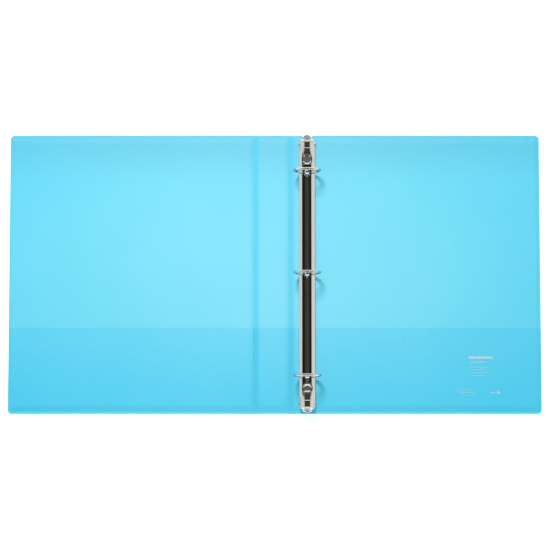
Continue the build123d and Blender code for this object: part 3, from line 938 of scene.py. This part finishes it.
def rivet_seats(z, x, y):
    """Round flats at the rivets, each with a hollow on its outward side."""
    for direction, wall_width in ((1, 2.6), (-1, 1.95)):
        dy = y - direction * RIVET_Y
        r = math.hypot(x, dy)
        if r < SEAT_R + 3.0:
            limit = SEAT_Z + 2.4 * ease(SEAT_R - 0.35, SEAT_R + 1.25, r)
            z = smooth_min(z, limit, 0.34)
            lobe = ease(0.70, 0.88, dy * direction / max(r, 1e-6))
            wall = clamp((6.35 - r) / wall_width)
            z -= 1.40 * lobe * ease(2.6, 3.5, r) * (0.75 * wall + 0.25 * ease(0.0, 1.0, wall))
    return z


def cover_height(x, z, y):
    """Height of the cover, starting from z on the plain cross-section."""
    if z < 2.5:
        return z
    across, along = abs(x), abs(y)
    z = rivet_seats(end_slopes(z, across, along), x, y)
    # channel narrowing from each rivet towards the end
    if RIVET_Y < along < CHANNEL_END:
        t = (along - RIVET_Y) / (CHANNEL_END - RIVET_Y)
        limit = 5.36 + 0.06 * t + 2.0 * ease(4.15 - 1.5 * t, 6.1 - 1.5 * t, across)
        z = smooth_min(z, limit, 0.30)
    # round pressed seat between the slots, under each ring's joint
    for ring_y in RING_YS.values():
        r = math.hypot(x, y - ring_y)
        if r < 3.4:
            cone = clamp((2.75 - r) / 1.75)
            z -= 1.05 * (cone * 0.8 + 0.2 * ease(0.0, 1.0, cone)) - 0.06 * bell(r, 2.95, 0.30)
    # low rib across the channel
    rib = abs(along - RIB_Y)
    if rib < 1.6 and across < 4.4:
        z += 0.50 * bell(rib, 0.0, 0.46) * (1 - ease(2.6, 3.6, across))
    # ends roll down a touch
    end = HALF_LENGTH - along
    if end < 0.7:
        z -= 0.22 * (1 - end / 0.7) ** 2
    return z


def in_slot(x, y, z):
    return (abs(x) > SLOT_IN and z > 2.65
            and any(abs(y - ring_y) < SLOT_HALF for ring_y in RING_YS.values()))


def housing_cover():
    """Arched sheet cover with slots for the rings."""
    section, rows = cover_section(), cover_rows()
    verts = on_mechanism((x, y, cover_height(x, z, y)) for y in rows for x, z in section)
    count = len(section)
    faces = []
    for j in range(len(rows) - 1):
        y = (rows[j] + rows[j + 1]) / 2
        for i in range(count - 1):
            x = (section[i][0] + section[i + 1][0]) / 2
            z = (section[i][1] + section[i + 1][1]) / 2
            if not in_slot(x, y, z):
                a = j * count + i
                faces.append([a, a + 1, a + count + 1, a + count])
    ob = make("housing_cover", verts, faces, CHROME, None)

    # drop the points left inside the slots and face the sheet upwards
    bm = bmesh.new()
    bm.from_mesh(ob.data)
    bmesh.ops.delete(bm, geom=[v for v in bm.verts if not v.link_faces], context="VERTS")
    bmesh.ops.recalc_face_normals(bm, faces=bm.faces)
    up = sum(f.normal.z > 0.5 for f in bm.faces)
    down = sum(f.normal.z < -0.5 for f in bm.faces)
    if down > up:
        bmesh.ops.reverse_faces(bm, faces=bm.faces)
    bm.to_mesh(ob.data)
    bm.free()

    modifier = ob.modifiers.new("sheet", "SOLIDIFY")
    modifier.thickness = 0.78 * MM
    modifier.offset = -1.0
    modifier.use_even_offset = True
    modifier.use_rim = True
    apply_modifiers(ob)

    # thin the sheet at the rivet seats' walls, where the open hinge plates come up to it
    lowest = 6.625 * MM
    for v in ob.data.vertices:
        x, y = v.co.x / MM - MECH_X, abs(v.co.y) / MM - RIVET_Y
        near_seat = y > 1.6 and 2.2 < math.hypot(x, y) < 6.6 and abs(x) < 4.6
        if near_seat and v.co.z < lowest:
            v.co.z = lowest
    for face in ob.data.polygons:
        face.use_smooth = True
    ob.data.set_sharp_from_angle(angle=math.radians(42))
    enlist(ob, "back_cover", "housing")


def rounded(value, power):
    """Power that keeps the sign; squares off a circle."""
    return math.copysign(abs(value) ** power, value)


def housing_hems():
    """Rolled hems along both feet of the cover."""
    rows, around = 81, 20
    length = 2 * HALF_LENGTH - 0.3
    verts, faces = [], []
    for side in (-1, 1):
        outline = [(side * (HALF_WIDTH - 0.95) + 0.86 * rounded(c, 0.7),
                    0.59 + 0.585 * rounded(s, 0.8)) for c, s in circle(around)]
        faces += tube_faces(len(verts), rows, around)
        for j in range(rows):
            y = -HALF_LENGTH + 0.15 + length * j / (rows - 1)
            verts += [(x, y, z) for x, z in outline]
    ob = make("housing_hems", on_mechanism(verts), faces, CHROME, 50.0)
    merge(ob)
    enlist(ob, "back_cover")


housing_cover()
housing_hems()


# ---------------------------------------------------------------- rivet heads
def rivet(name, y, inward, steep, flat, spread, far_bevel):
    """Low head with a steep bevel towards the middle and a shallow one beyond.

    inward is the y direction of the middle, flat the least radius of the flat top and
    spread how much wider the flat is away from it; far_bevel adds a third, outer bevel.
    """
    radius = RIVET_R + 0.35
    top = CAP_Z1 - 0.22
    count, flat_rings = 88, 34

    def bevel(s):
        """Slope of the bevel and radius where it starts, for a direction's sine."""
        facing = s * inward
        full = ease(-0.30, 0.40, facing)
        angle = steep * full + 11.0 * (1 - full)
        start = flat + spread * (1 - max(facing, 0.0))
        if far_bevel:
            far = ease(0.66, 0.86, -facing)
            angle = angle * (1 - far) + 33.0 * far
            start = start * (1 - far) + 2.75 * far
        return math.tan(math.radians(angle)), start

    def height(r, slope, start):
        soften = 0.45
        t = r - start
        if t < -soften:
            fall = 0.0
        elif t < soften:
            fall = (t + soften) ** 2 / (4 * soften)
        else:
            fall = t
        dish = 0.16 * max(0.0, 1 - (r / 2.2) ** 2) ** 2
        return top - slope * fall - dish

    # foot, rounded shoulder, then the top from its rim inwards
    outline = []
    for r, lift in ((radius - 0.25, 0.0), (radius - 0.08, 0.06), (radius, 0.18)):
        outline.append((r, lambda slope, start, lift=lift: CAP_Z0 + lift))
    for j in range(5):
        a = j / 4 * math.pi / 2
        outline.append((radius - 0.10 + 0.10 * math.cos(a), lambda slope, start, a=a:
                        height(radius - 0.12, slope, start) - 0.10 + 0.10 * math.sin(a)))
    for j in range(flat_rings):
        r = (radius - 0.14) * (1 - j / flat_rings)
        outline.append((r, lambda slope, start, r=r: height(r, slope, start)))
    verts = [(MECH_X + r * c, y + r * s, level(*bevel(s)))
             for r, level in outline for c, s in circle(count)]
    ob = make(name, verts, tube_faces(0, len(outline), count), RIVET_METAL, 60.0)
    merge(ob)
    enlist(ob, "back_cover", "rivet_caps")


# each head sits a little towards the middle from its post
rivet("rivet_head_top", RIVET_Y - 0.75, inward=-1,
      steep=36.0, flat=2.75, spread=0.85, far_bevel=False)
rivet("rivet_head_bottom", -RIVET_Y + 0.40, inward=1,
      steep=32.0, flat=2.45, spread=1.15, far_bevel=True)

# ---------------------------------------------------------------- ring halves
WIRE_R = 1.4
RING_R = 13.1               # to the wire's centre line
RING_CENTRE_Z = 17.0
RING_END = 243.0            # degrees where the arc meets the bend
BEND_R = 2.0
LEG_FOOT_Z = 2.05

# wire end at the joint: radius and how far each circle stands out of the end face
SOCKET = [(0.16, -1.10), (0.50, -1.0), (0.92, -0.12), (1.02, 0.0)]
PEG = [(0.12, 0.80), (0.34, 0.74), (0.72, 0.10), (0.82, 0.0)]
END_ROUNDING = [(WIRE_R - 0.16, 0.0), (WIRE_R - 0.05, -0.05), (WIRE_R, -0.17)]
# staked foot under the hinge plate: radius, height
STAKE = [(0.9, LEG_FOOT_Z), (0.9, 0.86), (1.35, 0.80), (1.42, 0.62), (1.3, 0.42),
         (0.7, 0.36), (0.05, 0.35)]


def ring_path():
    """Centre line (x, z) of a left half, from the joint at the top down to its leg."""
    points = []
    joint = 90.0 + math.degrees(0.06 / RING_R)
    for i in range(97):
        t = i / 96
        t = 0.45 * t + 0.55 * t ** 1.8          # closer together near the joint
        a = math.radians(joint + (RING_END - joint) * t)
        points.append((RING_R * math.cos(a), RING_CENTRE_Z + RING_R * math.sin(a)))
    # bend from the arc's end into a straight leg
    end = math.radians(RING_END)
    end_x, end_z = points[-1]
    bend_x = end_x + math.cos(end) * BEND_R
    bend_z = end_z + math.sin(end) * BEND_R
    start = math.atan2(end_z - bend_z, end_x - bend_x)
    for i in range(1, 13):
        a = start * (1 - i / 12)
        points.append((bend_x + BEND_R * math.cos(a), bend_z + BEND_R * math.sin(a)))
    x, z = points[-1]
    points += [(x, z + (LEG_FOOT_Z - z) * i / 4) for i in range(1, 5)]
    return points


def ring_half(place, side, ring_y, around=28):
    """One bent wire; the left half carries the socket and the right half the peg."""
    path = ring_path()
    tangents = []
    for i in range(len(path)):
        before, after = path[max(i - 1, 0)], path[min(i + 1, len(path) - 1)]
        dx, dz = after[0] - before[0], after[1] - before[1]
        length = math.hypot(dx, dz)
        tangents.append((dx / length, dz / length))
    verts, shaded_reflection = [], []

    def add_circle(i, radius, out=0.0):
        """Circle round path point i, moved back along the path by out."""
        (x, z), (along_x, along_z) = path[i], tangents[i]
        for c, s in circle(around):
            verts.append((x - along_x * out - along_z * c * radius, ring_y + s * radius,
                          z - along_z * out + along_x * c * radius))
            # painted darker reflection on the ring's outer sides
            shaded_reflection.append(ease(0.80, 0.97, -x / RING_R))

    for radius, out in (SOCKET if side == "left" else PEG) + END_ROUNDING:
        add_circle(0, radius, out)
    run = 0.0
    for i in range(1, len(path)):
        run += math.dist(path[i], path[i - 1])
        add_circle(i, WIRE_R - 0.20 * bell(run, 2.5, 0.42))     # groove near the joint
    add_circle(len(path) - 1, 0.9, out=-0.03)
    faces = tube_faces(0, len(verts) // around, around)

    faces += tube_faces(len(verts), len(STAKE), around)
    foot_x = path[-1][0]
    for r, z in STAKE:
        verts += [(foot_x + r * c, ring_y + r * s, z) for c, s in circle(around)]
        shaded_reflection += [0.0] * around

    mirror = 1 if side == "left" else -1
    ob = make(f"{side}_ring_{place}_wire", on_mechanism(verts, mirror_x=mirror), faces,
              RING_METAL, 40.0, {"shaded_reflection": shaded_reflection})
    merge(ob)
    enlist(ob, f"{side}_rings", f"{side}_ring_{place}")


for place, ring_y in RING_YS.items():
    for side in ("left", "right"):
        ring_half(place, side, ring_y)

# ---------------------------------------------------------------- triggers
# Stations along the lever: distance outwards from the pin, height, half width, how far it
# arches like the housing (0 to 1), how far its sides curl inwards, how far they drop.
LEVER = [
    (0.40, 3.05, 5.20, 0.00, 0.00, 0.0), (2.90, 3.25, 5.20, 0.00, 0.00, 0.0),
    (3.62, 3.65, 5.60, 0.10, 0.00, 0.0), (3.86, 4.70, 6.40, 0.35, 0.00, 0.0),
    (3.80, 5.80, 7.50, 0.70, 0.00, 0.0), (3.52, 6.75, 8.15, 0.95, 0.00, 0.0),
    (3.64, 7.25, 8.30, 1.00, 0.00, 0.0), (4.25, 7.82, 8.25, 1.00, 0.05, 0.0),
    (4.95, 8.28, 7.70, 0.95, 0.20, 0.0), (5.60, 8.50, 6.75, 0.80, 0.50, 0.0),
    (6.04, 8.80, 6.10, 0.50, 0.80, 0.0), (6.26, 9.60, 5.85, 0.25, 0.90, 0.0),
    (6.46, 11.10, 5.70, 0.10, 0.90, 0.1), (6.72, 12.55, 5.60, 0.05, 0.90, 0.7),
    (6.92, 13.30, 5.40, 0.00, 0.90, 1.5), (7.16, 13.78, 5.20, 0.00, 0.90, 2.0),
    (7.96, 13.92, 4.60, 0.00, 0.90, 2.2), (8.30, 13.52, 4.10, 0.00, 0.90, 2.1),
]
LEVER_HALF_THICKNESS = 0.5
# curled eye round the pin: x, radius
EYE = [(-5.3, 0.88), (-5.4, 1.0), (-5.4, 1.5), (-5.3, 1.6),
       (5.3, 1.6), (5.4, 1.5), (5.4, 1.0), (5.3, 0.88)]
# lips that hold the hinge plates: half width, y from and to the pin, bottom, top
LIPS = [(1.1, -2.9, -0.9, 0.12, 0.70), (2.4, -2.9, -0.4, 2.35, 3.0)]
BOX_FACES = [[0, 3, 2, 1], [4, 5, 6, 7], [0, 1, 5, 4], [1, 2, 6, 5], [2, 3, 7, 6], [3, 0, 4, 7]]


def catmull_rom(stations, steps):
    """Smooth curve through the stations, column by column."""
    curve = []
    last = len(stations) - 1
    for i in range(last):
        around = [stations[min(max(i + k, 0), last)] for k in (-1, 0, 1, 2)]
        for k in range(steps):
            t = k / steps
            curve.append([0.5 * (2 * b + (c - a) * t + (2 * a - 5 * b + 4 * c - d) * t * t
                                 + (3 * b - a - 3 * c + d) * t ** 3)
                          for a, b, c, d in zip(*around)])
    curve.append(stations[-1])
    return curve


def trigger(name, direction, node, columns=36):
    """Lever with its eye and lips, built at the head and mirrored for the foot."""
    curve = catmull_rom(LEVER, steps=5)
    last = len(curve) - 1
    verts = []
    for layer in (1, -1):
        for i, (out, height, half_width, arch, curl, drop) in enumerate(curve):
            before, after = curve[max(i - 1, 0)], curve[min(i + 1, last)]
            dy, dz = after[0] - before[0], after[1] - before[1]
            length = math.hypot(dy, dz)
            arch, curl, drop = max(arch, 0.0), max(curl, 0.0), max(drop, 0.0)
            for k in range(columns + 1):
                u = -1 + 2 * k / columns
                x = u * half_width
                sag = arch * (ARC_R - math.sqrt(ARC_R ** 2 - x * x))
                # thinner towards the sides and at both ends
                thin = math.sqrt(max(0.02, 1 - max(0.0, abs(u) - 0.90) ** 2 / 0.0102))
                if i in (0, last):
                    thin = 0.25
                offset = layer * LEVER_HALF_THICKNESS * thin
                verts.append((x, PIN_Y + out - dz / length * offset - curl * u * u,
                              height + dy / length * offset - sag - drop * u * u))
    faces = slab_faces(last + 1, columns + 1)

    around = 30
    faces += tube_faces(len(verts), len(EYE), around, closed=True)
    verts += [(x, PIN_Y + r * c, PIN_Z + r * s) for x, r in EYE for c, s in circle(around)]

    for half, y0, y1, z0, z1 in LIPS:
        faces += [[len(verts) + v for v in face] for face in BOX_FACES]
        verts += [(x, PIN_Y + y, z) for z in (z0, z1)
                  for x, y in ((-half, y0), (half, y0), (half, y1), (-half, y1))]

    ob = make(name, on_mechanism(verts, mirror_y=direction), faces, CHROME, 45.0)
    merge(ob)
    enlist(ob, node, node)


trigger("head_trigger", 1, "top_trigger")
trigger("foot_trigger", -1, "bottom_trigger")


# ---------------------------------------------------------------- CAD pieces kept as they are
def paint(node, material):
    mesh = frame["nodes"][node].data
    mesh.materials.clear()
    mesh.materials.append(material)
    for face in mesh.polygons:
        face.use_smooth = True
        face.material_index = 0
    mesh.set_sharp_from_angle(angle=math.radians(35))


for node in ("left_hinge_plate", "right_hinge_plate"):
    paint(node, STEEL)
for node in ("rivet_posts", "top_trigger_pin", "bottom_trigger_pin"):
    paint(node, CHROME)

# ---------------------------------------------------------------- print on the back pocket
# plain round-ended bars: centre x, centre y, width, height, ink cover
MARKS = [
    (218.0, -88.5, 26.0, 2.6, 0.40), (214.5, -93.2, 15.0, 0.8, 0.36),
    (218.0, -98.6, 20.0, 0.6, 0.22), (217.0, -101.4, 18.0, 0.6, 0.20),
    (217.4, -104.2, 18.6, 0.6, 0.20), (216.6, -107.2, 16.0, 0.6, 0.15),
    (202.0, -122.6, 16.0, 0.6, 0.20), (203.0, -125.0, 17.0, 0.6, 0.22),
    (203.0, -127.8, 12.0, 0.6, 0.20), (236.4, -125.4, 3.2, 3.2, 0.42),
    (230.0, -125.4, 6.0, 0.9, 0.34),
]
PRINT_Z = POCKET_Z + 0.005
PRINT_THICKNESS = 0.03


def printed_marks():
    verts, faces, ink = [], [], []
    for centre_x, centre_y, width, height, cover in MARKS:
        r = height / 2
        outline = []
        for side in (1, -1):
            for k in range(9):
                a = -side * math.pi / 2 + math.pi * k / 8
                outline.append((centre_x + side * (width / 2 - r) + r * math.cos(a),
                                centre_y + r * math.sin(a)))
        top, count = len(verts), len(outline)
        bottom = top + count
        for z in (PRINT_Z + PRINT_THICKNESS, PRINT_Z):
            verts += [(x, y, z) for x, y in outline]
        ink += [cover] * (2 * count)
        faces.append([top + k for k in range(count)])
        faces.append([bottom + k for k in reversed(range(count))])
        for k in range(count):
            after = (k + 1) % count
            faces.append([top + after, top + k, bottom + k, bottom + after])
    ob = make("printed_marks", verts, faces, PRINT, None, {"ink": ink})
    for face in ob.data.polygons:
        face.use_smooth = False
    enlist(ob, "back_cover")


printed_marks()


# ---------------------------------------------------------------- floor, world, light, camera
def add_floor(half=3, z=-0.0006):
    mesh = bpy.data.meshes.new("floor")
    corners = [(-half, -half, z), (half, -half, z), (half, half, z), (-half, half, z)]
    mesh.from_pydata(corners, [], [[0, 1, 2, 3]])
    floor = add_object("floor", mesh)
    material, g = new_material("floor")
    bsdf = g.principled()
    patches = g.remap(g.noise(g.coords(), scale=3.0, detail=2.0),
                      span=(0.3, 0.7), to=(0.0, 1.0))
    g.feed(bsdf, {"Base Color": g.mix(patches, (0.93, 0.93, 0.93), (0.95, 0.95, 0.95)),
                  "Roughness": 0.9, "Specular IOR Level": 0.1,
                  "Emission Color": (1, 1, 1), "Emission Strength": 0.62})
    mesh.materials.append(material)


def add_world():
    """Reflections see a bright tent with a dark opening overhead; the rest is plain."""
    world = bpy.data.worlds.new("studio")
    bpy.context.scene.world = world
    g = Graph(world)
    generated = g.node("TexCoord").outputs["Generated"]
    direction = g.node("VectorMath", {0: generated}, operation="NORMALIZE").outputs[0]
    x, y, z = g.split(direction)

    opening_edge = g.math("SUBTRACT", z, g.multiply(x, 0.06))
    bright = g.remap(opening_edge, span=(0.57, 0.67), to=(1.0, 0.0), smooth=True)
    overhead = g.mix(g.remap(z, span=(0.84, 1.0), to=(0.0, 1.0), smooth=True),
                     (0.010, 0.011, 0.007), (0.050, 0.047, 0.037))
    # tent walls: left to right, then whiter towards the head and the foot
    tent = g.mix(g.remap(x, span=(-0.6, 0.6), to=(0.0, 1.0), smooth=True),
                 (0.64, 0.67, 0.66), (0.72, 0.70, 0.64))
    head = g.remap(y, span=(0.45, 0.80), to=(0.0, 1.0), smooth=True)
    foot = g.remap(y, span=(-0.45, -0.80), to=(0.0, 0.65), smooth=True)
    tent = g.mix(g.add(head, foot), tent, (1.0, 0.99, 0.97))

    reflected = g.node("Background", {0: g.mix(bright, overhead, tent), 1: 1.0})
    diffuse = g.node("Background", {0: (0.50, 1.20, 1.235), 1: 0.52})
    backdrop = g.node("Background", {0: (0.93, 0.93, 0.93)})
    ray = g.node("LightPath").outputs
    light = g.mix_shader(ray["Is Glossy Ray"], diffuse.outputs[0], reflected.outputs[0])
    g.node("OutputWorld", {0: g.mix_shader(ray["Is Camera Ray"], light, backdrop.outputs[0])})


def aim(ob, direction):
    ob.rotation_mode = "QUATERNION"
    ob.rotation_quaternion = direction.to_track_quat("-Z", "Y")


def add_key_light(distance=2.2, elevation=math.radians(54), size=0.60):
    """Soft key from above the head end, a little to the left."""
    light = bpy.data.lights.new("key", "AREA")
    light.shape = "RECTANGLE"
    light.size = light.size_y = size
    light.energy = 42.0
    light.color = (1.25, 0.85, 0.84)
    ob = add_object("key", light)
    direction = Vector((-0.13, math.cos(elevation), math.sin(elevation))).normalized()
    ob.location = direction * distance
    aim(ob, -direction * distance)
    ob.visible_glossy = False
    ob.visible_camera = False


def add_camera(tilt=math.radians(5.318)):
    """Camera high above, tilted from straight down towards the head."""
    camera = bpy.data.cameras.new("camera")
    camera.sensor_width = 36.0
    camera.lens = 143.083636
    camera.clip_start = 0.05
    camera.clip_end = 20
    ob = add_object("camera", camera)
    ob.location = (0.00159, -0.215, 2.300)
    aim(ob, Vector((0, math.sin(tilt), -math.cos(tilt))))
    bpy.context.scene.camera = ob


add_floor()
add_world()
add_key_light()
add_camera()
bpy.context.scene.view_settings.view_transform = "Standard"
bpy.context.scene.view_settings.look = "None"
